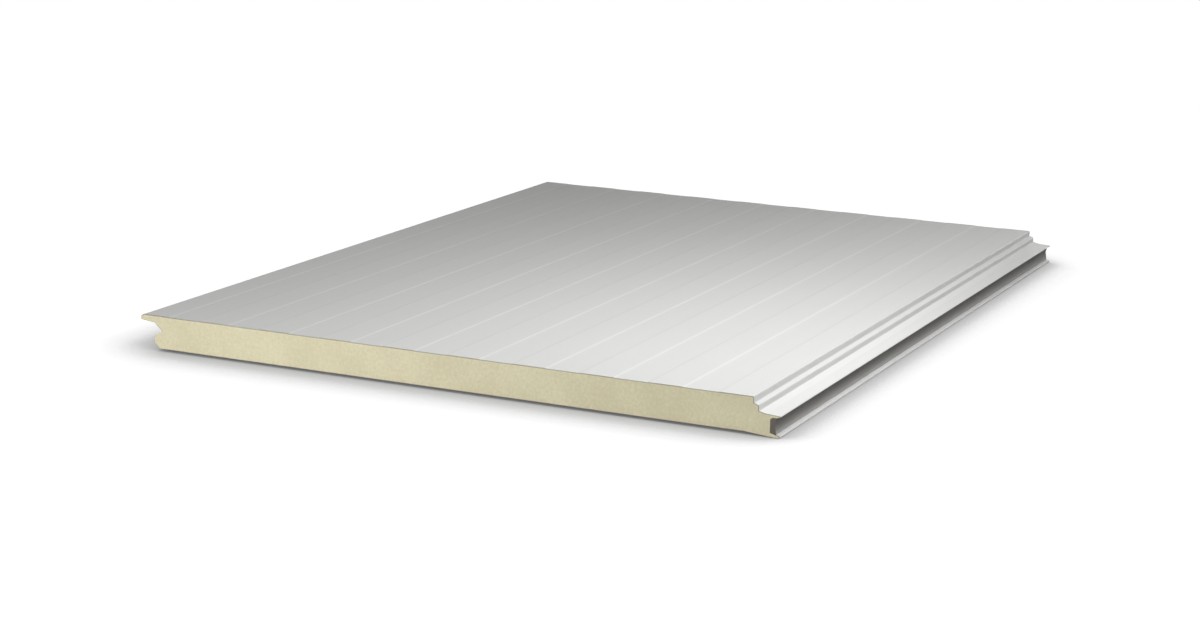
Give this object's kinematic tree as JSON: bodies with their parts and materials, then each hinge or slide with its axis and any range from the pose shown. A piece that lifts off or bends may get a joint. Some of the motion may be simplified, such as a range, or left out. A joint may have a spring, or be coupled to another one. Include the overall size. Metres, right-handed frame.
{
  "type": "insulated sandwich panel",
  "caption": "Flat steel-faced wall panel on a rigid foam core, with shallow staves, a rounded socket edge, and a stepped tongue edge with a gasket groove and a lip.",
  "frame": {"origin": "under the middle of the panel, level with the underside of the joint lip, its lowest line", "axes": "+X across the panel towards the tongue edge, +Y along the length, +Z towards the outer face"},
  "size_m": [1.0326, 1.4, 0.054],
  "materials": {
    "outer_paint": "satin off-white coil coating on roll-formed steel",
    "inner_paint": "satin off-white coil coating on roll-formed steel",
    "foam": "sawn rigid polyurethane foam, fine open cells",
    "gasket": "soft dark sealing strip"
  },
  "bodies": {
    "root": {"outer_skin": "outer_paint", "inner_skin": "inner_paint", "foam_core": "foam", "joint_gasket": "gasket"}
  },
  "joints": []
}
